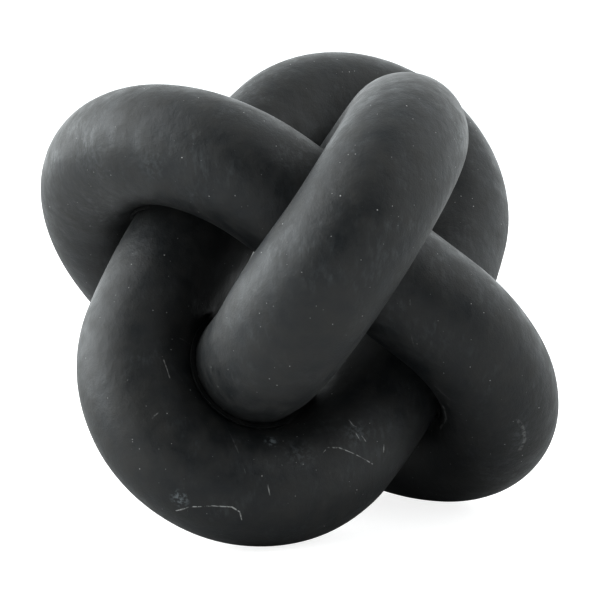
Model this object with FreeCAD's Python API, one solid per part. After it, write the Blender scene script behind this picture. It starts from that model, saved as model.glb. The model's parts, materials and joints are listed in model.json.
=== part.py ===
import FreeCAD, Part
import math
import os

from FreeCAD import Placement, Rotation, Vector

# Metal knot sculpture: three closed rings of round tube, linked so that each passes through the next.
# Every ring is two end bends and two bowed legs, joined by four welds that are ground flush.
# Lengths are in millimetres and angles in degrees.

# Tube and joints
tube_diameter = 36.0
tube_wall = 4.0
weld_width = 2.0
bed_gap = 0.3
filler_throat = 1.1
rest_flat_depth = 0.5

# Bend radii, given by how much wider a bend is than one that just passes round a tube
upright_upper_room = -1.5
upright_lower_room = -1.0
cross_left_room = 11.5
cross_right_room = 6.5
bar_front_room = 2.0
bar_back_room = 0.0

# Bow of the legs: a positive radius bows outwards, a negative one inwards
upright_leg_radius = 250.0
cross_leg_radius = 1500.0
bar_leg_radius = -180.0

# Play of each ring along its length, over the ring that passes through it
upright_play = 4.5
cross_play = -0.6
bar_play = -3.6

# Where each ring sits from the knot's middle, and how it leans out of its own plane
upright_shift_x = 3.0
upright_shift_z = 3.5
cross_shift_x = -2.0
cross_shift_y = -0.8
cross_shift_z = -3.0
bar_shift_x = -2.8
bar_shift_y = 1.5
bar_shift_z = -1.5
upright_lean = Vector(-1.5, 1.5, 0.5)
cross_lean = Vector(-2.0, 1.5, -2.0)
bar_lean = Vector(0, -3.0, 0.5)

upright_shift = Vector(upright_shift_x, 0, upright_shift_z)
cross_shift = Vector(cross_shift_x, cross_shift_y, cross_shift_z)
bar_shift = Vector(bar_shift_x, bar_shift_y, bar_shift_z)
tube_radius = tube_diameter / 2
bore_radius = tube_radius - tube_wall
X, Y, Z = Vector(1, 0, 0), Vector(0, 1, 0), Vector(0, 0, 1)
RESTING_STEPS = 40


def direction(angle):
    """Unit vector in the ring's own plane at an angle from its long axis."""
    return Vector(math.cos(angle), math.sin(angle), 0)


def angle_of(vector):
    """Angle of a vector from the ring's long axis, from zero to a full turn."""
    return math.atan2(vector.y, vector.x) % math.tau


def section(middle, facing, outer, bore):
    """Round or ring-shaped cross-section of the tube, square to its run."""
    edges = [Part.Circle(middle, facing, radius).toShape() for radius in (outer, bore) if radius > 0]
    return Part.makeFace([Part.Wire(edge) for edge in edges], "Part::FaceMakerBullseye")


class Arc:
    """One bent stretch of a ring's centreline, in the ring's own plane."""

    def __init__(self, centre, radius, start, sweep):
        self.centre = centre
        self.radius = radius
        self.start = start
        self.sweep = sweep

    def point(self, angle):
        return self.centre + direction(angle) * self.radius

    def tube(self, outer, bore):
        """Tube bent along the stretch; a bore of zero gives a solid rod."""
        face = section(self.point(self.start), direction(self.start + math.pi / 2), outer, bore)
        return face.revolve(self.centre, Z, math.degrees(self.sweep))

    def line(self):
        middle = self.point(self.start + self.sweep / 2)
        ends = self.point(self.start), self.point(self.start + self.sweep)
        return Part.Arc(ends[0], middle, ends[1]).toShape()

    def furthest(self, way):
        """The point of the centreline that lies furthest in one direction."""
        half_sweep = abs(self.sweep) / 2
        middle = self.start + self.sweep / 2
        off = (angle_of(way * math.copysign(1, self.radius)) - middle + math.pi) % math.tau - math.pi
        return self.point(middle + max(-half_sweep, min(half_sweep, off)))

    def mirrored(self):
        """The same stretch on the other side of the ring's long axis."""
        return Arc(Vector(self.centre.x, -self.centre.y, 0), self.radius, -self.start, -self.sweep)


class Seam:
    """Short straight stretch between a bend and a leg, filled by a weld."""

    def __init__(self, point, angle):
        self.point = point
        self.run = direction(angle) * weld_width

    def tube(self, outer, bore):
        return section(self.point, self.run, outer, bore).extrude(self.run)


class Ring:
    """A closed ring: head bend at +X of its own plane, tail bend at -X, legs at +Y and -Y."""

    def __init__(self, long_axis, side_axis, half_length, rooms, leg_radius, shift, lean):
        head, tail = (tube_diameter + room for room in rooms)
        self.leg_radius = leg_radius
        self.head_centre = Vector(half_length - head, 0, 0)
        self.tail_centre = Vector(tail - half_length, 0, 0)
        self.leg_centre = self.find_leg_centre(head, tail)
        head_step = math.atan2(weld_width, leg_radius - head)
        tail_step = math.atan2(weld_width, leg_radius - tail)
        first = (angle_of(self.head_centre - self.leg_centre) + head_step) % math.tau
        last = (angle_of(self.tail_centre - self.leg_centre) - tail_step) % math.tau
        self.head = Arc(self.head_centre, head, -first, 2 * first)
        self.tail = Arc(self.tail_centre, tail, last, 2 * (math.pi - last))
        self.side = Arc(self.leg_centre, leg_radius, first, last - first)
        self.other_side = self.side.mirrored()
        self.seams = self.find_seams(first, last)
        turn = Rotation(long_axis, side_axis, long_axis.cross(side_axis))
        self.place = Placement(shift, Rotation(lean, lean.Length) * turn)

    def find_leg_centre(self, head, tail):
        """Centre of the leg whose ends run straight for one weld before they meet the two bends."""
        to_head = math.hypot(self.leg_radius - head, weld_width)
        to_tail = math.hypot(self.leg_radius - tail, weld_width)
        reach = self.head_centre.x - self.tail_centre.x
        from_tail = (to_tail ** 2 - to_head ** 2 + reach ** 2) / (2 * reach)
        rise = math.sqrt(to_tail ** 2 - from_tail ** 2)
        return Vector(self.tail_centre.x + from_tail, -math.copysign(rise, self.leg_radius), 0)

    def find_seams(self, first, last):
        """The four welds: head to each leg, then tail to each leg."""
        quarter = math.pi / 2
        tail_end = self.side.point(last)
        other_tail_end = Vector(tail_end.x, -tail_end.y, 0)
        return [
            Seam(self.head.point(first), first + quarter),
            Seam(self.head.point(-first), -first - quarter),
            Seam(tail_end, last + quarter),
            Seam(other_tail_end, -last - quarter),
        ]

    def arcs(self):
        return [self.head, self.tail, self.side, self.other_side]

    def stretches(self):
        return self.arcs() + self.seams

    def solid(self, stretch, outer, bore):
        piece = stretch.tube(outer, bore)
        piece.Placement = self.place
        return piece

    def rod(self, radius):
        """The whole ring as one solid rod."""
        solids = [self.solid(stretch, radius, 0) for stretch in self.stretches()]
        return solids[0].multiFuse(solids[1:])

    def line(self, arc):
        piece = arc.line()
        piece.Placement = self.place
        return piece

    def reach(self, way):
        """Furthest that the ring's surface goes in one direction."""
        flat = self.place.Rotation.inverted().multVec(way)
        return max(self.place.multVec(arc.furthest(flat)).dot(way) for arc in self.arcs()) + tube_radius

    def lowest(self, bend, up):
        """Lowest point of a bend's centreline when the sculpture stands with this way up."""
        flat = self.place.Rotation.inverted().multVec(up)
        down = Vector(-flat.x, -flat.y, 0).normalize()
        return self.place.multVec(bend.centre + down * bend.radius)


def half_width(ring):
    """Half the width of a ring at the middle of its legs, between centrelines."""
    return ring.leg_centre.y + ring.leg_radius


def linked_rings():
    """The three rings in three nearly square planes, each long enough to pass round the next one's legs."""
    bar_length, cross_length, upright_length = solve_lengths()
    upright = make_upright(upright_length)
    cross = make_cross(cross_length)
    bar = make_bar(bar_length)
    return upright, cross, bar


def make_upright(half_length):
    rooms = upright_upper_room, upright_lower_room
    return Ring(X, Y, half_length, rooms, upright_leg_radius, upright_shift, upright_lean)


def make_cross(half_length):
    rooms = cross_left_room, cross_right_room
    return Ring(Y, Z, half_length, rooms, cross_leg_radius, cross_shift, cross_lean)


def make_bar(half_length):
    rooms = bar_front_room, bar_back_room
    return Ring(Z, X, half_length, rooms, bar_leg_radius, bar_shift, bar_lean)


def solve_lengths():
    """Half lengths of the rings; each follows the width of the ring inside it, so they settle in a few steps."""
    bar_length = cross_length = upright_length = 2 * tube_diameter
    for _ in range(RESTING_STEPS):
        cross_length = half_width(make_upright(upright_length)) + tube_diameter + cross_play
        upright_length = half_width(make_bar(bar_length)) + tube_diameter + upright_play
        bar_length = half_width(make_cross(cross_length)) + tube_diameter + bar_play
    return bar_length, cross_length, upright_length


def resting_up(upright, cross, bar):
    """The way up when the sculpture stands on the tail bends of its three rings."""
    up = Vector(1, 1, 1).normalize()
    for _ in range(RESTING_STEPS):
        feet = [ring.lowest(ring.tail, up) for ring in (upright, cross, bar)]
        up = (feet[1] - feet[0]).cross(feet[2] - feet[0]).normalize()
    return up


def stand(rings):
    """Turns the rings upright, with the cross ring's length over the X axis and the base at the origin."""
    up = resting_up(*rings)
    across = rings[1].place.Rotation.multVec(X) * -1
    across = (across - up * across.dot(up)).normalize()
    turn = Placement(Vector(0, 0, 0), Rotation(across, up.cross(across), up)).inverse()
    for ring in rings:
        ring.place = turn.multiply(ring.place)
    left, right = (max(ring.reach(way) for ring in rings) for way in (X * -1, X))
    near, far = (max(ring.reach(way) for ring in rings) for way in (Y * -1, Y))
    low = max(ring.reach(Z * -1) for ring in rings)
    lift = Placement(Vector((left - right) / 2, (near - far) / 2, low - rest_flat_depth), Rotation())
    for ring in rings:
        ring.place = lift.multiply(ring.place)


def bedded(piece, over_rod):
    """A piece with a shallow seat where the ring that passes over it presses on it."""
    return piece.cut(over_rod) if piece.common(over_rod).Volume > 0 else piece


def ground(piece, ring):
    """A bend that the sculpture stands on, with its lowest point ground off flat."""
    size = 2 * ring.reach(Z)
    return piece.common(Part.makeBox(2 * size, 2 * size, size, Vector(-size, -size, 0)))


def contact_beads(over_ring, under_ring):
    """Filler in the crevices where a ring lies on the ring inside it: at its head, then at its tail."""
    under_line = Part.Compound([under_ring.line(arc) for arc in under_ring.arcs()])
    ends = (over_ring.head, over_ring.tail)
    widest = max(over_ring.line(end).distToShape(under_line)[0] for end in ends)
    growth = filler_throat + max(0, widest - tube_diameter) / 2
    crevice = over_ring.rod(tube_radius + growth).common(under_ring.rod(tube_radius + growth))
    beads = crevice.cut(over_ring.rod(tube_radius)).cut(under_ring.rod(tube_radius)).Solids
    to_ring = over_ring.place.inverse()
    at_head = [bead for bead in beads if to_ring.multVec(bead.CenterOfMass).x > 0]
    at_tail = [bead for bead in beads if to_ring.multVec(bead.CenterOfMass).x <= 0]
    return Part.Compound(at_head), Part.Compound(at_tail)


def ring_pieces(name, ring, over_ring, bend_names, leg_names):
    """The eight pieces of one ring, bedded under the ring that passes over it."""
    names = [f"{name}_{bend}_bend" for bend in bend_names] + [f"{name}_{leg}_leg" for leg in leg_names]
    foot = names[1]
    names += [f"{name}_weld_{bend}_{leg}" for bend in bend_names for leg in leg_names]
    tubes = [ring.solid(stretch, tube_radius, bore_radius) for stretch in ring.stretches()]
    over_rod = over_ring.rod(tube_radius + bed_gap)
    pieces = {label: bedded(tube, over_rod) for label, tube in zip(names, tubes)}
    pieces[foot] = ground(pieces[foot], ring)
    return pieces


def contact_welds(name, over_ring, under_ring, bend_names):
    beads = contact_beads(over_ring, under_ring)
    return {f"contact_weld_{name}_{bend}": bead for bend, bead in zip(bend_names, beads)}


def build():
    rings = linked_rings()
    stand(rings)
    upright, cross, bar = rings
    upright_bends, cross_bends, bar_bends = ("upper", "lower"), ("left", "right"), ("front", "back")
    pieces = ring_pieces("upright_ring", upright, cross, upright_bends, ("left", "right"))
    pieces.update(ring_pieces("cross_ring", cross, bar, cross_bends, ("front", "back")))
    pieces.update(ring_pieces("bar_ring", bar, upright, bar_bends, ("upper", "lower")))
    pieces.update(contact_welds("upright", upright, bar, upright_bends))
    pieces.update(contact_welds("cross", cross, upright, cross_bends))
    pieces.update(contact_welds("bar", bar, cross, bar_bends))
    return pieces


os.makedirs("parts", exist_ok=True)
for node, shape in build().items():
    shape.exportStep(f"parts/{node}.step")
    print(node, len(shape.Solids), shape.isValid(), round(shape.Volume, 2))
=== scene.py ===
"""Dresses the metal knot sculpture: three linked rings of round tube under matte black paint."""

import json
import logging
import math
from dataclasses import dataclass, field
from enum import Enum
from typing import Any, Iterator, Union

import bmesh
import bpy
from mathutils import Matrix, Vector, noise

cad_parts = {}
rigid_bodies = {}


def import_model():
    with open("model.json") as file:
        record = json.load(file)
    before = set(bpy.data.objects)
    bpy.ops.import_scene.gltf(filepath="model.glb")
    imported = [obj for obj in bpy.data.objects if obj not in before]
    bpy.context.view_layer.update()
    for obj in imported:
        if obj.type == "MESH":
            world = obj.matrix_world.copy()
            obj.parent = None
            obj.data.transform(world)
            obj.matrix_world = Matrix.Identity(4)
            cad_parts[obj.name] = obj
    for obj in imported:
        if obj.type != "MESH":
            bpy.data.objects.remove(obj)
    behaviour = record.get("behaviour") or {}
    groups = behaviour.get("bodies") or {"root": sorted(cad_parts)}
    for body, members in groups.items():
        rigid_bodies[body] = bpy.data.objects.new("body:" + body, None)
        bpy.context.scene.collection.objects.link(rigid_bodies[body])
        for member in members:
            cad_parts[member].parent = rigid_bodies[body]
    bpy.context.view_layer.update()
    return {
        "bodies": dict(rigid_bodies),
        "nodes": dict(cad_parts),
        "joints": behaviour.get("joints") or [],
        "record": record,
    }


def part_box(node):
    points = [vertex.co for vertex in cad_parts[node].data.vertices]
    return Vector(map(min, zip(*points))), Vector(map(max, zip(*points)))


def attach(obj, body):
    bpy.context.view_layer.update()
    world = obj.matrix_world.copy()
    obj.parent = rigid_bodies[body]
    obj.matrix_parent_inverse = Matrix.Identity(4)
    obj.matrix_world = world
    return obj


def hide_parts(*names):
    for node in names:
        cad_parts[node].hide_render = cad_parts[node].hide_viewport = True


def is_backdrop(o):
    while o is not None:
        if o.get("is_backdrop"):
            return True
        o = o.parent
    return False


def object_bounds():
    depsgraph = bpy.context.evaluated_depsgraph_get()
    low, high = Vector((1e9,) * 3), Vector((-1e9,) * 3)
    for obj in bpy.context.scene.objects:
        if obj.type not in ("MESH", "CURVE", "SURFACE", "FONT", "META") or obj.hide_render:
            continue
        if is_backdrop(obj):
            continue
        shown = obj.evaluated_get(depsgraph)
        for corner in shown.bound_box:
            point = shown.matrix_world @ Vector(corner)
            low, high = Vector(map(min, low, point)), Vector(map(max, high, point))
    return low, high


LOG = logging.getLogger("knot_sculpture")
MM = 0.001
PHOTO_PIXELS = 600
SHARPEST_SMOOTH = math.radians(40)
Mesh = bpy.types.Object


class Slot(Enum):
    """The record's material slots."""

    PAINT = "black_paint"


class Socket:
    """One output of a node, or a plain number, that Python's operators turn into Math nodes."""

    def __init__(self, tree: "ShaderTree", link: Any) -> None:
        """Wraps a node's output.

        Args:
            tree: the material's tree, which makes the Math nodes.
            link: the output that is wrapped.
        """
        self.tree = tree
        self.link = link

    def math(self, operation: str, *others: Any, clamp: bool = False) -> "Socket":
        """Feeds this output, then others, to one Math node.

        Args:
            operation: the Math node's operation.
            others: numbers or outputs for its other inputs.
            clamp: whether the result is kept from 0 to 1.

        Returns:
            The Math node's result.
        """
        values = {i: value for i, value in enumerate((self, *others))}
        settings = {"operation": operation, "use_clamp": clamp}
        return self.tree.node("ShaderNodeMath", settings, values)["Value"]

    def __add__(self, other: Any) -> "Socket":
        """Sum."""
        return self.math("ADD", other)

    def __radd__(self, other: Any) -> "Socket":
        """Sum, with the number first."""
        return self.math("ADD", other)

    def __sub__(self, other: Any) -> "Socket":
        """Difference."""
        return self.math("SUBTRACT", other)

    def __rsub__(self, other: Any) -> "Socket":
        """Difference, with the number first."""
        return self.tree.value(other).math("SUBTRACT", self)

    def __mul__(self, other: Any) -> "Socket":
        """Product."""
        return self.math("MULTIPLY", other)

    def __rmul__(self, other: Any) -> "Socket":
        """Product, with the number first."""
        return self.math("MULTIPLY", other)

    def __truediv__(self, other: Any) -> "Socket":
        """Quotient."""
        return self.math("DIVIDE", other)

    def clamped(self) -> "Socket":
        """This value, kept from 0 to 1."""
        return self.math("ADD", 0.0, clamp=True)

    def above(self, edge: float, blur: float) -> "Socket":
        """A soft step: 0 below the edge, 1 where the value is past it by the blur.

        Args:
            edge: where the step starts.
            blur: how far it takes to reach 1; a negative one makes a step down.

        Returns:
            The mask.
        """
        return ((self - edge) / blur).clamped()


@dataclass(frozen=True)
class Outputs:
    """A made node's outputs, by name."""

    tree: "ShaderTree"
    made: bpy.types.Node

    def __getitem__(self, name: str) -> Socket:
        """The enabled output of that name."""
        found = next(o for o in self.made.outputs if o.name == name and o.enabled)
        return Socket(self.tree, found)


class ShaderTree:
    """A node tree that expressions on sockets add their nodes to."""

    def __init__(self, tree: bpy.types.NodeTree) -> None:
        """Empties a node tree.

        Args:
            tree: the tree of a material or of the surround.
        """
        self.nodes = tree.nodes
        self.links = tree.links
        self.nodes.clear()

    def node(self, kind: str, settings: dict[str, Any], values: dict[Union[str, int], Any]) -> Outputs:
        """Makes any node: its settings first, then its inputs.

        Args:
            kind: the node's type.
            settings: its properties, such as an operation.
            values: numbers, colours or outputs for its inputs, by name or place.

        Returns:
            The node's outputs.
        """
        made = self.nodes.new(kind)
        for key, setting in settings.items():
            setattr(made, key, setting)
        for key, value in values.items():
            self.feed(self.find_input(made, key), value)
        return Outputs(self, made)

    def find_input(self, made: bpy.types.Node, key: Union[str, int]) -> bpy.types.NodeSocket:
        """The enabled input of that name or place."""
        if isinstance(key, int):
            return made.inputs[key]
        return next(i for i in made.inputs if i.name == key and i.enabled)

    def feed(self, target: bpy.types.NodeSocket, value: Any) -> None:
        """Links an output to an input, or sets the input's own value."""
        if isinstance(value, Socket):
            self.links.new(value.link, target)
        else:
            target.default_value = value

    def value(self, number: Any) -> Socket:
        """A plain number as an output that can start an expression."""
        made = self.node("ShaderNodeValue", {}, {})
        made.made.outputs[0].default_value = number
        return made["Value"]

    def vector(self, operation: str, one: Any, other: Any) -> Outputs:
        """Feeds two vectors to one Vector Math node, its result in Value or in Vector."""
        return self.node("ShaderNodeVectorMath", {"operation": operation}, {0: one, 1: other})

    def mix(self, share: Socket, low: Any, high: Any) -> Socket:
        """Mixes two colours.

        Args:
            share: how much of the second colour shows.
            low: the colour where the share is 0.
            high: the colour where the share is 1.

        Returns:
            The mixed colour.
        """
        values = {"Factor": share, "A": low, "B": high}
        return self.node("ShaderNodeMix", {"data_type": "RGBA"}, values)["Result"]


@dataclass(frozen=True)
class Grain:
    """One noise pattern: the size of its blobs in millimetres and how fine its detail is."""

    blob_mm: float
    detail: float = 3.0
    roughness: float = 0.5
    stretch: tuple[float, float, float] = (1.0, 1.0, 1.0)
    turn: tuple[float, float, float] = (0.0, 0.0, 0.0)
    offset: tuple[float, float, float] = (0.0, 0.0, 0.0)

    def build(self, tree: ShaderTree) -> Socket:
        """Adds the noise on Object coordinates.

        Args:
            tree: the material's tree.

        Returns:
            The noise, from 0 to 1 and mostly near 0.5.
        """
        place = tree.node("ShaderNodeTexCoord", {}, {})["Object"]
        values = {"Vector": place, "Location": self.offset, "Rotation": self.turn, "Scale": self.stretch}
        turned = tree.node("ShaderNodeMapping", {}, values)["Vector"]
        values = {
            "Vector": turned,
            "Scale": 1.0 / (self.blob_mm * MM),
            "Detail": self.detail,
            "Roughness": self.roughness,
        }
        return tree.node("ShaderNodeTexNoise", {}, values)["Fac"]


@dataclass(frozen=True)
class Threshold:
    """Where a pattern starts to show, and how far it takes from there to show fully."""

    edge: float
    blur: float

    def cut(self, pattern: Socket) -> Socket:
        """The mask of the pattern above this threshold."""
        return pattern.above(self.edge, self.blur)


@dataclass(frozen=True)
class Specks:
    """Specks of dust on some points of a loose three-way grid, each of its own size."""

    spacing_mm: float = 1.9
    share: float = 0.55
    radius_mm: float = 0.26

    def build(self, tree: ShaderTree) -> Socket:
        """Adds the mask of the specks.

        Args:
            tree: the material's tree.

        Returns:
            The mask, near 1 in a large speck and lower in a small one.
        """
        place = tree.node("ShaderNodeTexCoord", {}, {})["Object"]
        values = {"Vector": place, "Scale": 1.0 / (self.spacing_mm * MM)}
        cells = tree.node("ShaderNodeTexVoronoi", {}, values)
        chance = tree.node("ShaderNodeSeparateColor", {}, {"Color": cells["Color"]})
        reach = self.radius_mm / self.spacing_mm
        size = chance["Red"].above(1.0 - self.share, self.share) * reach
        return ((size - cells["Distance"]) / (reach * 0.5)).clamped()


def strongest(masks: Iterator[Socket]) -> Socket:
    """The strongest of several masks at each point, each one taken in as soon as it is made."""
    top = next(masks)
    for mask in masks:
        top = top.math("MAXIMUM", mask)
    return top


@dataclass(frozen=True)
class Scratch:
    """A pale hairline in the paint, through a few points of the surface, in millimetres."""

    points: tuple[tuple[float, float, float], ...]
    strength: float = 0.5
    half_width: float = 0.06
    blur: float = 0.17

    def build(self, tree: ShaderTree, place: Socket, unevenness: Socket) -> Socket:
        """Adds the mask of the hairline.

        Args:
            tree: the material's tree.
            place: the shaded point, in millimetres.
            unevenness: how much wider the line gets here and there, in millimetres.

        Returns:
            The mask, as strong as the scratch.
        """
        stretches = list(zip(self.points, self.points[1:]))
        nearest = self.gap(tree, place, *stretches[0])
        for start, end in stretches[1:]:
            nearest = nearest.math("MINIMUM", self.gap(tree, place, start, end))
        return (nearest - unevenness).above(self.half_width + self.blur, -self.blur) * self.strength

    def gap(self, tree: ShaderTree, place: Socket, start: tuple[float, ...], end: tuple[float, ...]) -> Socket:
        """Distance from the shaded point to one straight stretch of the hairline.

        Args:
            tree: the material's tree.
            place: the shaded point, in millimetres.
            start: the stretch's first point.
            end: its last point.

        Returns:
            The distance in millimetres.
        """
        run = Vector(end) - Vector(start)
        away = tree.vector("SUBTRACT", place, start)["Vector"]
        share = tree.vector("DOT_PRODUCT", away, run / run.length_squared)["Value"].clamped()
        near = tree.node("ShaderNodeVectorMath", {"operation": "SCALE"}, {"Vector": run, "Scale": share})["Vector"]
        return tree.vector("DISTANCE", away, near)["Value"]


@dataclass(frozen=True)
class Scuff:
    """A chalky patch, broken up by the paint's own grain, about a point of the surface in millimetres."""

    centre: tuple[float, float, float]
    radius: float
    strength: float = 0.5

    def build(self, tree: ShaderTree, place: Socket) -> Socket:
        """Adds the mask of the patch, strongest in its middle."""
        gap = tree.vector("DISTANCE", place, Vector(self.centre))["Value"]
        return gap.above(self.radius, -self.radius) * self.strength


SCRATCHES = (
    Scratch(((-34.2, -50.3, 55.6), (-33.2, -51.2, 53.4), (-32.2, -52.4, 50.8)), 0.45),
    Scratch(((-36.4, -59.5, 40.5), (-34.8, -58.9, 41.8)), 0.4),
    Scratch(((-30.0, -58.4, 13.8), (-25.8, -60.4, 15.4), (-19.6, -60.9, 15.9), (-14.0, -60.4, 15.5),
             (-11.8, -59.6, 13.9), (-11.4, -58.6, 11.4)), 0.8),
    Scratch(((11.1, -48.0, 28.7), (12.5, -46.4, 30.1), (15.9, -45.3, 29.7), (20.2, -44.1, 27.7),
             (25.4, -41.1, 24.2)), 0.8),
    Scratch(((18.4, -39.2, 36.8), (19.5, -40.0, 35.5), (20.7, -40.0, 34.9)), 0.7),
    Scratch(((20.4, -41.1, 33.3), (21.6, -41.6, 31.4)), 0.7),
    Scratch(((22.2, -40.8, 32.4), (23.3, -40.9, 30.9)), 0.5),
    Scratch(((28.6, -37.5, 29.2), (28.6, -37.8, 27.2)), 0.7),
    Scratch(((-4.0, -57.9, 21.3), (-3.5, -58.0, 18.5)), 0.6),
    Scratch(((-16.4, -51.9, 37.3), (-13.2, -56.1, 32.0), (-10.1, -59.1, 24.7)), 0.12),
    Scratch(((39.3, 8.2, 7.6), (42.4, 13.1, 2.3)), 0.5),
    Scratch(((67.7, -34.6, 36.4), (69.8, -31.2, 32.8), (70.4, -28.1, 29.2), (69.2, -25.4, 25.7)), 0.2, 0.3, 0.5),
    Scratch(((35.7, -50.5, 73.1), (36.4, -46.9, 61.3), (41.9, -36.8, 47.8), (47.8, -35.9, 42.4)), 0.15),
    Scratch(((-49.3, -6.8, 95.3), (-45.9, -12.8, 97.4), (-41.4, -18.3, 98.2)), 0.5, 0.35, 0.3),
    Scratch(((-30.5, -42.8, 61.0), (-27.3, -38.1, 58.1), (-25.8, -43.7, 54.5), (-24.3, -46.4, 49.3)), 0.3),
    Scratch(((-12.0, -46.1, 36.9), (-7.1, -46.0, 35.1), (-2.9, -44.5, 34.6), (1.1, -38.6, 36.0),
             (4.6, -33.0, 38.3)), 0.3),
    Scratch(((46.1, -26.8, 38.8), (47.3, -21.3, 34.5), (45.9, -9.1, 29.3)), 0.5, 0.35, 0.3),
)

SCUFFS = (
    Scuff((-28.6, -60.9, 17.8), 3.4, 0.9),
    Scuff((-3.7, -50.0, 32.4), 2.6, 1.0),
    Scuff((-59.8, -30.1, 113.7), 9.0, 0.12),
    Scuff((-38.4, -44.7, 110.9), 7.0, 0.14),
    Scuff((-55.0, -32.3, 108.7), 6.0, 0.12),
    Scuff((68.7, -30.2, 30.8), 4.5, 0.2),
    Scuff((49.3, -61.5, 117.8), 6.0, 0.3),
    Scuff((20.5, -41.0, 33.5), 5.0, 0.35),
    Scuff((4.6, -50.1, 29.3), 6.0, 0.25),
)


@dataclass(frozen=True)
class ChalkyPaint:
    """Matte black paint with a dusty bloom, pale specks, rubbed patches and fine scratches."""

    name: str = "matte_black_paint"
    deep: tuple[float, ...] = (0.0030, 0.0052, 0.0070, 1.0)
    dusty: tuple[float, ...] = (0.0200, 0.0200, 0.0190, 1.0)
    rubbed: tuple[float, ...] = (0.052, 0.058, 0.062, 1.0)
    chalk: tuple[float, ...] = (0.16, 0.18, 0.19, 1.0)
    speck: tuple[float, ...] = (0.40, 0.40, 0.39, 1.0)
    bloom: Grain = Grain(38.0, 4.0, 0.55)
    mottle: Grain = Grain(6.0, 5.0, 0.6)
    rub: Grain = Grain(15.0, 6.0, 0.65, offset=(0.3, 0.1, 0.2))
    specks: Specks = Specks()
    dust_fields: Grain = Grain(24.0, 2.0, 0.5, offset=(0.7, 0.4, 0.1))
    skin: Grain = Grain(0.55, 3.0, 0.6)
    fleck: Grain = Grain(1.3, 2.0, 0.6, offset=(0.2, 0.5, 0.9))
    streaks: Grain = Grain(1.6, 4.0, 0.65, (1.0, 1.0, 0.35), (0.3, 0.2, 0.0), (0.6, 0.1, 0.3))
    waves: Grain = Grain(9.0, 2.0, 0.5)
    bloom_share: float = 1.4
    mottle_share: float = 2.4
    cloud_start: float = 1.4
    rub_threshold: Threshold = Threshold(0.48, 0.16)
    streak_threshold: Threshold = Threshold(0.47, 0.20)
    crumb_threshold: Threshold = Threshold(0.46, 0.16)
    scratch_breaks: Threshold = Threshold(0.38, 0.20)
    dust_threshold: Threshold = Threshold(0.30, 0.20)
    rub_share: float = 0.40
    speck_share: float = 0.80
    scratch_wander: float = 0.50
    roughness: float = 0.33
    mottle_roughness: float = 0.30
    cloud_roughness: float = 0.07
    skin_height: float = 0.3
    mottle_height: float = 1.4
    wave_height: float = 2.0
    speck_height: float = 0.6
    relief: float = 0.5 * MM
    relief_strength: float = 0.4

    def build(self) -> bpy.types.Material:
        """Builds the paint's material, from its broad clouds to its specks.

        Returns:
            The material.
        """
        material = bpy.data.materials.new(self.name)
        material.use_nodes = True
        tree = ShaderTree(material.node_tree)
        bloom, mottle, rub = self.bloom.build(tree), self.mottle.build(tree), self.rub.build(tree)
        dust_fields, skin, fleck = self.dust_fields.build(tree), self.skin.build(tree), self.fleck.build(tree)
        place = tree.node("ShaderNodeTexCoord", {}, {})["Object"]
        in_mm = tree.node("ShaderNodeVectorMath", {"operation": "SCALE"}, {"Vector": place, "Scale": 1 / MM})["Vector"]
        streaks = self.streaks.build(tree)
        clouds = (bloom * self.bloom_share + mottle * self.mottle_share - self.cloud_start).clamped()
        colour = tree.mix(clouds, self.deep, self.dusty)
        rubbed = self.rub_threshold.cut(rub) * self.streak_threshold.cut(streaks)
        colour = tree.mix(rubbed * self.rub_share, colour, self.rubbed)
        crumbs = strongest(scuff.build(tree, in_mm) for scuff in SCUFFS) * self.crumb_threshold.cut(fleck)
        colour = tree.mix(crumbs, colour, self.chalk)
        wander = (mottle - 0.5) * self.scratch_wander
        scratches = strongest(scratch.build(tree, in_mm, wander) for scratch in SCRATCHES)
        colour = tree.mix(scratches * self.scratch_breaks.cut(fleck), colour, self.speck)
        speck = self.specks.build(tree) * self.dust_threshold.cut(dust_fields)
        colour = tree.mix(speck * self.speck_share, colour, self.speck)
        roughness = self.roughness + mottle * self.mottle_roughness + (clouds - rubbed) * self.cloud_roughness
        height = skin * self.skin_height + mottle * self.mottle_height
        height = height + self.waves.build(tree) * self.wave_height + speck * self.speck_height
        bump = {"Strength": self.relief_strength, "Distance": self.relief, "Height": height}
        normal = tree.node("ShaderNodeBump", {}, bump)["Normal"]
        values = {"Base Color": colour, "Roughness": roughness, "Normal": normal}
        shader = tree.node("ShaderNodeBsdfPrincipled", {}, values)
        tree.node("ShaderNodeOutputMaterial", {}, {"Surface": shader["BSDF"]})
        return material


@dataclass(frozen=True)
class Arc:
    """One bent stretch of a ring's centreline, in the ring's own plane."""

    centre: Vector
    radius: float
    start: float
    sweep: float

    def point(self, angle: float) -> Vector:
        """The centreline's point at an angle about the arc's centre."""
        return self.centre + direction(angle) * self.radius

    def nearest(self, spot: Vector) -> Vector:
        """The centreline's point nearest to a spot.

        Args:
            spot: a point in the ring's own frame.

        Returns:
            The nearest point of the arc, its ends included.
        """
        away = (spot - self.centre) * math.copysign(1.0, self.radius)
        middle = self.start + self.sweep / 2
        half = abs(self.sweep) / 2
        off = (math.atan2(away.y, away.x) - middle + math.pi) % math.tau - math.pi
        return self.point(middle + max(-half, min(half, off)))


def direction(angle: float) -> Vector:
    """Unit vector in a ring's own plane at an angle from its long axis."""
    return Vector((math.cos(angle), math.sin(angle), 0.0))


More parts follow.
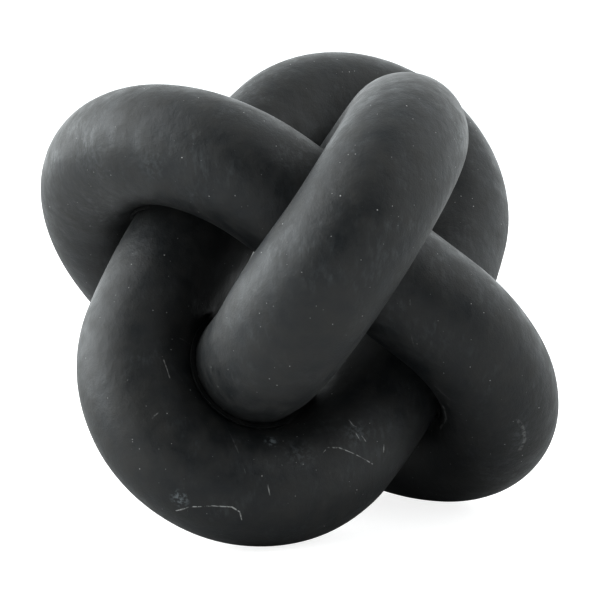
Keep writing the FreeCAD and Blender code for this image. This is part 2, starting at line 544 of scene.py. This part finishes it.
@dataclass
class Tube:
    """The stock that every ring is bent from."""

    diameter: float = 36.0 * MM
    wall: float = 4.0 * MM
    weld_width: float = 2.0 * MM
    bed_gap: float = 0.3 * MM
    facets: int = 112
    step: float = 1.6 * MM

    def start_section(self, middle: Vector, facing: Vector) -> bmesh.types.BMesh:
        """A ring-shaped section of the tube.

        Args:
            middle: the section's centre in the ring's own frame.
            facing: the direction that the tube runs in.

        Returns:
            A mesh that holds the section's faces.
        """
        bm = bmesh.new()
        side = Vector((0, 0, 1))
        out = side.cross(facing)
        turn = Matrix((out, side, out.cross(side))).transposed().to_4x4()
        place = Matrix.Translation(middle) @ turn
        for radius in (self.diameter / 2, self.diameter / 2 - self.wall):
            bmesh.ops.create_circle(bm, segments=self.facets, radius=radius, matrix=place)
        bmesh.ops.bridge_loops(bm, edges=bm.edges[:])
        return bm

    def bend(self, arc: Arc) -> bmesh.types.BMesh:
        """A length of tube bent along an arc.

        Args:
            arc: the stretch that the tube follows.

        Returns:
            The closed mesh of the bent tube.
        """
        facing = direction(arc.start + math.pi / 2) * math.copysign(1.0, arc.sweep * arc.radius)
        bm = self.start_section(arc.point(arc.start), facing)
        steps = max(1, round(abs(arc.sweep * arc.radius) / self.step))
        everything = bm.verts[:] + bm.edges[:] + bm.faces[:]
        bmesh.ops.spin(bm, geom=everything, cent=arc.centre, axis=(0, 0, 1), angle=arc.sweep, steps=steps)
        return bm

    def straight(self, start: Vector, run: Vector) -> bmesh.types.BMesh:
        """A short straight length of tube.

        Args:
            start: the centre of its first end.
            run: the way from there to its other end.

        Returns:
            The closed mesh of the length.
        """
        bm = self.start_section(start, run.normalized())
        made = bmesh.ops.extrude_face_region(bm, geom=bm.faces[:], use_keep_orig=True)
        moved = [item for item in made["geom"] if isinstance(item, bmesh.types.BMVert)]
        bmesh.ops.translate(bm, vec=run, verts=moved)
        return bm


@dataclass
class RingShape:
    """The oval that a ring's centreline follows: two end bends and two bowed legs, all in one plane."""

    half_length: float
    head_bend: float
    tail_bend: float
    leg_bow: float
    tube: Tube

    def __post_init__(self) -> None:
        """Works out the four arcs, each leg's ends running straight for one weld before the bends."""
        weld = self.tube.weld_width
        head_centre = Vector((self.half_length - self.head_bend, 0, 0))
        tail_centre = Vector((self.tail_bend - self.half_length, 0, 0))
        to_head = math.hypot(self.leg_bow - self.head_bend, weld)
        to_tail = math.hypot(self.leg_bow - self.tail_bend, weld)
        reach = head_centre.x - tail_centre.x
        from_tail = (to_tail**2 - to_head**2 + reach**2) / (2 * reach)
        rise = math.copysign(math.sqrt(to_tail**2 - from_tail**2), self.leg_bow)
        leg_centre = Vector((tail_centre.x + from_tail, -rise, 0))
        head_step = math.atan2(weld, self.leg_bow - self.head_bend)
        tail_step = math.atan2(weld, self.leg_bow - self.tail_bend)
        self.first = (heading(head_centre - leg_centre) + head_step) % math.tau
        self.last = (heading(tail_centre - leg_centre) - tail_step) % math.tau
        self.head = Arc(head_centre, self.head_bend, -self.first, 2 * self.first)
        self.tail = Arc(tail_centre, self.tail_bend, self.last, 2 * (math.pi - self.last))
        self.side = Arc(leg_centre, self.leg_bow, self.first, self.last - self.first)
        mirrored = Vector((leg_centre.x, -leg_centre.y, 0))
        self.other_side = Arc(mirrored, self.leg_bow, -self.first, self.first - self.last)

    def arcs(self) -> tuple[Arc, Arc, Arc, Arc]:
        """Head bend, tail bend, then the legs at +Y and -Y."""
        return self.head, self.tail, self.side, self.other_side

    def welds(self) -> list[tuple[Vector, Vector]]:
        """The start and the run of each butt weld: head to each leg, then tail to each leg."""
        quarter = math.pi / 2
        head_end, tail_end = self.head.point(self.first), self.side.point(self.last)
        away, back = direction(self.first + quarter), direction(self.last + quarter)
        width = self.tube.weld_width
        upper = [(head_end, away * width), (tail_end, back * width)]
        lower = [(flipped(point), flipped(run)) for point, run in upper]
        return [upper[0], lower[0], upper[1], lower[1]]

    def nearest(self, spot: Vector) -> Vector:
        """The centreline's point nearest to a spot in the ring's own frame."""
        return min((arc.nearest(spot) for arc in self.arcs()), key=lambda point: (point - spot).length)


def heading(way: Vector) -> float:
    """Angle of a direction from a ring's long axis."""
    return math.atan2(way.y, way.x)


def flipped(point: Vector) -> Vector:
    """The same point on the other side of a ring's long axis."""
    return Vector((point.x, -point.y, point.z))


@dataclass(frozen=True)
class HandFinish:
    """How uneven the tube is after bending, filling and sanding by hand."""

    depth: float = 0.16 * MM
    swell: float = 17.0 * MM
    ripple: float = 6.0 * MM
    ripple_share: float = 0.3

    def dip(self, spot: Vector) -> float:
        """How far the surface lies below the true tube at a spot.

        Args:
            spot: a point of the surface.

        Returns:
            A depth from zero to the finish's own.
        """
        broad = noise.noise(spot / self.swell)
        fine = noise.noise(spot / self.ripple) * self.ripple_share
        return self.depth * min(1.0, max(0.0, 0.5 + 0.5 * (broad + fine)))


@dataclass(frozen=True)
class Swelling:
    """A place where the tube came out slightly thicker: its middle on the surface, its reach and its height."""

    middle: Vector
    reach: float
    height: float

    def rise(self, spot: Vector) -> float:
        """How far the surface stands proud of the true tube at a spot."""
        share = min(1.0, (spot - self.middle).length / self.reach)
        return self.height * (1.0 - share**2) ** 2


@dataclass
class LinkedRing:
    """One ring of the knot, placed by the frame's welds, made of eight flush lengths of painted tube."""

    name: str
    bends: tuple[str, str]
    legs: tuple[str, str]
    shape: RingShape
    swelling: Swelling
    finish: HandFinish = field(default_factory=HandFinish)

    def __post_init__(self) -> None:
        """Reads the ring's place off the four butt welds of the frame."""
        centres = [self.weld_centre(bend, leg) for bend in self.bends for leg in self.legs]
        head_middle = (centres[0] + centres[1]) / 2
        tail_middle = (centres[2] + centres[3]) / 2
        along = (head_middle - tail_middle).normalized()
        across = centres[0] - centres[1] + centres[2] - centres[3]
        across = (across - along * across.dot(along)).normalized()
        ends = [start + run / 2 for start, run in self.shape.welds()]
        origin = (head_middle + tail_middle) / 2 - along * (ends[0].x + ends[2].x) / 2
        turn = Matrix((along, across, along.cross(across))).transposed().to_4x4()
        self.place = Matrix.Translation(origin) @ turn
        self.to_ring = self.place.inverted()

    def weld_centre(self, bend: str, leg: str) -> Vector:
        """Middle of one butt weld of the frame."""
        low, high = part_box(f"{self.name}_weld_{bend}_{leg}")
        return (low + high) / 2

    def build(self, over: "LinkedRing", paint: bpy.types.Material) -> list[Mesh]:
        """Makes and paints the ring's bends, legs and welds.

        Args:
            over: the ring that passes round this one and beds into it.
            paint: the material of the painted tube.

        Returns:
            The eight pieces.
        """
        tube = self.shape.tube
        names = [f"{bend}_bend" for bend in self.bends] + [f"{leg}_leg" for leg in self.legs]
        lengths = {name: tube.bend(arc) for name, arc in zip(names, self.shape.arcs())}
        joins = [f"weld_{bend}_{leg}" for bend in self.bends for leg in self.legs]
        lengths.update({name: tube.straight(*weld) for name, weld in zip(joins, self.shape.welds())})
        pieces = []
        for name, bm in lengths.items():
            self.soften(bm)
            bmesh.ops.transform(bm, matrix=self.place, verts=bm.verts[:])
            over.press_into(bm)
            grind_foot(bm)
            pieces.append(finished(bm, f"{self.name}_{name}", paint))
        return pieces

    def soften(self, bm: bmesh.types.BMesh) -> None:
        """Lets the outer wall dip and swell a little, as bending and hand finishing leave it."""
        tube = self.shape.tube
        for vert in bm.verts:
            axis = self.shape.nearest(vert.co)
            out = vert.co - axis
            if out.length > tube.diameter / 2 - tube.wall / 2:
                spot = self.place @ vert.co
                vert.co += out.normalized() * (self.swelling.rise(spot) - self.finish.dip(spot))

    def press_into(self, bm: bmesh.types.BMesh) -> None:
        """Presses this ring's tube into the ring inside it, which leaves shallow seats there."""
        clear = self.shape.tube.diameter / 2 + self.shape.tube.bed_gap
        for vert in bm.verts:
            spot = self.to_ring @ vert.co
            axis = self.shape.nearest(spot)
            out = spot - axis
            if out.length < clear:
                vert.co = self.place @ (axis + out.normalized() * clear)


def grind_foot(bm: bmesh.types.BMesh) -> None:
    """Grinds off flat whatever of a piece lies below the surface that the knot stands on."""
    if min(vert.co.z for vert in bm.verts) > 0:
        return
    everything = bm.verts[:] + bm.edges[:] + bm.faces[:]
    bmesh.ops.bisect_plane(bm, geom=everything, plane_co=(0, 0, 0), plane_no=(0, 0, -1), clear_outer=True)
    rim = [edge for edge in bm.edges if edge.is_boundary]
    bmesh.ops.holes_fill(bm, edges=rim, sides=0)


def finished(bm: bmesh.types.BMesh, node: str, paint: bpy.types.Material) -> Mesh:
    """Turns a mesh into a piece that stands for its node of the frame.

    Args:
        bm: the mesh, in the frame's own place.
        node: the node that it replaces.
        paint: its material.

    Returns:
        The finished piece.
    """
    bmesh.ops.recalc_face_normals(bm, faces=bm.faces[:])
    for face in bm.faces:
        face.smooth = True
    for edge in bm.edges:
        edge.smooth = edge.calc_face_angle(0.0) < SHARPEST_SMOOTH
    mesh = bpy.data.meshes.new(f"{node}_painted")
    bm.to_mesh(mesh)
    bm.free()
    mesh.materials.append(paint)
    piece = bpy.data.objects.new(mesh.name, mesh)
    bpy.context.scene.collection.objects.link(piece)
    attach(piece, "root")
    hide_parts(node)
    return piece


@dataclass
class ContactWelds:
    """The thin beads of filler where one ring lies on another, painted over."""

    rings: dict[str, tuple[str, str]]

    def dress(self, frame: dict[str, Any], paint: bpy.types.Material) -> list[Mesh]:
        """Paints the frame's own beads.

        Args:
            paint: their material.

        Returns:
            The painted nodes.
        """
        names = [f"contact_weld_{ring}_{bend}" for ring, bends in self.rings.items() for bend in bends]
        beads = [frame["nodes"][name] for name in names]
        for bead in beads:
            bead.material_slots[0].material = paint
        return beads


@dataclass
class SoftLight:
    """A large rectangular lamp that points at the sculpture."""

    name: str
    azimuth: float
    power: float
    elevation: float = 45.0
    distance: float = 1.3
    width: float = 1.0
    height: float = 1.0

    def build(self, target: Vector) -> None:
        """Hangs the lamp.

        Args:
            target: the point that it faces.
        """
        lamp = bpy.data.lights.new(self.name, "AREA")
        lamp.shape = "RECTANGLE"
        lamp.size, lamp.size_y = self.width, self.height
        lamp.energy = self.power
        az, el = math.radians(self.azimuth), math.radians(self.elevation)
        back = Vector((math.sin(az) * math.cos(el), -math.cos(az) * math.cos(el), math.sin(el)))
        piece = bpy.data.objects.new(self.name, lamp)
        piece.location = target + back * self.distance
        piece.rotation_euler = (-back).to_track_quat("-Z", "Y").to_euler()
        bpy.context.scene.collection.objects.link(piece)


@dataclass(frozen=True)
class Glow:
    """A soft brightening of the surround towards one side."""

    axis: str
    side: float
    narrowness: float
    strength: float

    def build(self, way: Outputs) -> Socket:
        """Adds the glow's strength in each direction.

        Args:
            way: the X, Y and Z of a direction.

        Returns:
            The strength.
        """
        return (way[self.axis] * (0.5 * self.side) + 0.5).math("POWER", self.narrowness) * self.strength


@dataclass
class Studio:
    """A pale seamless floor, a pale surround, soft lamps and the camera."""

    floor_radius: float = 30.0
    floor_sides: int = 96
    floor_roughness: float = 0.9
    floor_bounce: float = 0.72
    floor_grey: float = 0.45
    floor_glow: float = 0.58
    glows: tuple[Glow, ...] = (
        Glow("Y", 1.0, 2.0, 1.80),
        Glow("Z", 1.0, 3.0, 0.31),
        Glow("X", 1.0, 3.0, 0.19),
        Glow("X", 1.0, 10.0, 0.90),
        Glow("X", -1.0, 10.0, 4.90),
    )
    backdrop: float = 1.0
    light_tint: tuple[float, ...] = (0.96, 1.0, 1.01, 1.0)
    exposure: float = 0.57
    gamma: float = 0.80
    camera_place: Vector = field(default_factory=lambda: Vector((27.34, -500.53, 116.33)) * MM)
    camera_heading: float = -2.88
    camera_tilt: float = -5.50
    camera_roll: float = -0.07
    focal_pixels: float = 1602.3
    sensor_width: float = 36.0
    nearest_seen: float = 0.01
    farthest_seen: float = 100.0
    lamps: tuple[SoftLight, ...] = (
        SoftLight("left_lamp", azimuth=-75.0, power=4.1),
        SoftLight("right_lamp", azimuth=70.0, power=2.4),
    )

    def build(self) -> None:
        """Builds the floor, the light and the camera."""
        self.build_floor()
        self.build_surround()
        low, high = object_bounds()
        for lamp in self.lamps:
            lamp.build((low + high) / 2)
        self.build_camera()

    def build_floor(self) -> None:
        """Lays the floor under the sculpture's feet, lighter to the camera than to the light that it bounces."""
        bm = bmesh.new()
        bmesh.ops.create_circle(bm, cap_ends=True, segments=self.floor_sides, radius=self.floor_radius)
        mesh = bpy.data.meshes.new("floor")
        bm.to_mesh(mesh)
        bm.free()
        material = bpy.data.materials.new("pale_floor")
        material.use_nodes = True
        tree = ShaderTree(material.node_tree)
        white = (1.0, 1.0, 1.0, 1.0)
        bounce = (self.floor_bounce, self.floor_bounce, self.floor_bounce, 1.0)
        grey = (self.floor_grey, self.floor_grey, self.floor_grey, 1.0)
        values = {"Base Color": bounce, "Roughness": self.floor_roughness}
        lit = tree.node("ShaderNodeBsdfPrincipled", {}, values)["BSDF"]
        values = {"Base Color": grey, "Roughness": self.floor_roughness}
        values |= {"Emission Color": white, "Emission Strength": self.floor_glow}
        seen = tree.node("ShaderNodeBsdfPrincipled", {}, values)["BSDF"]
        by_camera = tree.node("ShaderNodeLightPath", {}, {})["Is Camera Ray"]
        surface = tree.node("ShaderNodeMixShader", {}, {0: by_camera, 1: lit, 2: seen})["Shader"]
        tree.node("ShaderNodeOutputMaterial", {}, {"Surface": surface})
        mesh.materials.append(material)
        floor = bpy.data.objects.new("floor", mesh)
        bpy.context.scene.collection.objects.link(floor)
        floor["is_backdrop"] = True

    def build_surround(self) -> None:
        """Sets the light from all round: bright behind and beside the sculpture, dark on the viewer's side."""
        world = bpy.data.worlds.new("pale_surround")
        world.use_nodes = True
        tree = ShaderTree(world.node_tree)
        way = tree.node("ShaderNodeTexCoord", {}, {})["Generated"]
        apart = tree.node("ShaderNodeSeparateXYZ", {}, {"Vector": way})
        light = self.glows[0].build(apart)
        for glow in self.glows[1:]:
            light = light + glow.build(apart)
        seen = tree.node("ShaderNodeLightPath", {}, {})["Is Camera Ray"]
        strength = light * (1.0 - seen) + seen * self.backdrop
        sky = tree.node("ShaderNodeBackground", {}, {"Color": self.light_tint, "Strength": strength})
        tree.node("ShaderNodeOutputWorld", {}, {"Surface": sky["Background"]})
        bpy.context.scene.world = world
        tone = bpy.context.scene.view_settings
        tone.view_transform = "Standard"
        tone.exposure, tone.gamma = self.exposure, self.gamma

    def build_camera(self) -> None:
        """Stands the camera where the photograph was taken from."""
        turn, tilt, roll = (math.radians(a) for a in (self.camera_heading, self.camera_tilt, self.camera_roll))
        ahead = Vector((math.sin(turn) * math.cos(tilt), math.cos(turn) * math.cos(tilt), math.sin(tilt)))
        level = ahead.cross(Vector((0, 0, 1))).normalized()
        right = level * math.cos(roll) + level.cross(ahead) * math.sin(roll)
        axes = Matrix((right, right.cross(ahead), -ahead)).transposed().to_4x4()
        lens = bpy.data.cameras.new("camera")
        lens.sensor_width = self.sensor_width
        lens.lens = self.focal_pixels / PHOTO_PIXELS * lens.sensor_width
        lens.clip_start, lens.clip_end = self.nearest_seen, self.farthest_seen
        camera = bpy.data.objects.new("camera", lens)
        camera.matrix_world = Matrix.Translation(self.camera_place) @ axes
        bpy.context.scene.collection.objects.link(camera)
        bpy.context.scene.camera = camera


def main() -> None:
    """Builds the sculpture, then the studio round it."""
    logging.basicConfig(level=logging.INFO, format="%(message)s")
    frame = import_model()
    paint = ChalkyPaint().build()
    tube = Tube()
    upright = LinkedRing(
        "upright_ring", bends=("upper", "lower"), legs=("left", "right"),
        shape=RingShape(72.46 * MM, head_bend=34.5 * MM, tail_bend=35.0 * MM, leg_bow=250.0 * MM, tube=tube),
        swelling=Swelling(Vector((-14.7, -15.5, 86.0)) * MM, reach=27.0 * MM, height=2.0 * MM))
    cross = LinkedRing(
        "cross_ring", bends=("left", "right"), legs=("front", "back"),
        shape=RingShape(73.47 * MM, head_bend=47.5 * MM, tail_bend=42.5 * MM, leg_bow=1500.0 * MM, tube=tube),
        swelling=Swelling(Vector((-66.0, -40.0, 98.0)) * MM, reach=20.0 * MM, height=0.3 * MM))
    bar = LinkedRing(
        "bar_ring", bends=("front", "back"), legs=("upper", "lower"),
        shape=RingShape(83.29 * MM, head_bend=38.0 * MM, tail_bend=36.0 * MM, leg_bow=-180.0 * MM, tube=tube),
        swelling=Swelling(Vector((-8.0, -72.5, 84.0)) * MM, reach=24.0 * MM, height=1.0 * MM))
    for ring, over in ((upright, cross), (cross, bar), (bar, upright)):
        for piece in ring.build(over, paint):
            LOG.info("built %s with %d faces", piece.name, len(piece.data.polygons))
    beads = ContactWelds({"upright": upright.bends, "cross": cross.bends, "bar": bar.bends})
    for bead in beads.dress(frame, paint):
        LOG.info("painted %s", bead.name)
    Studio().build()


if __name__ == "__main__":
    main()
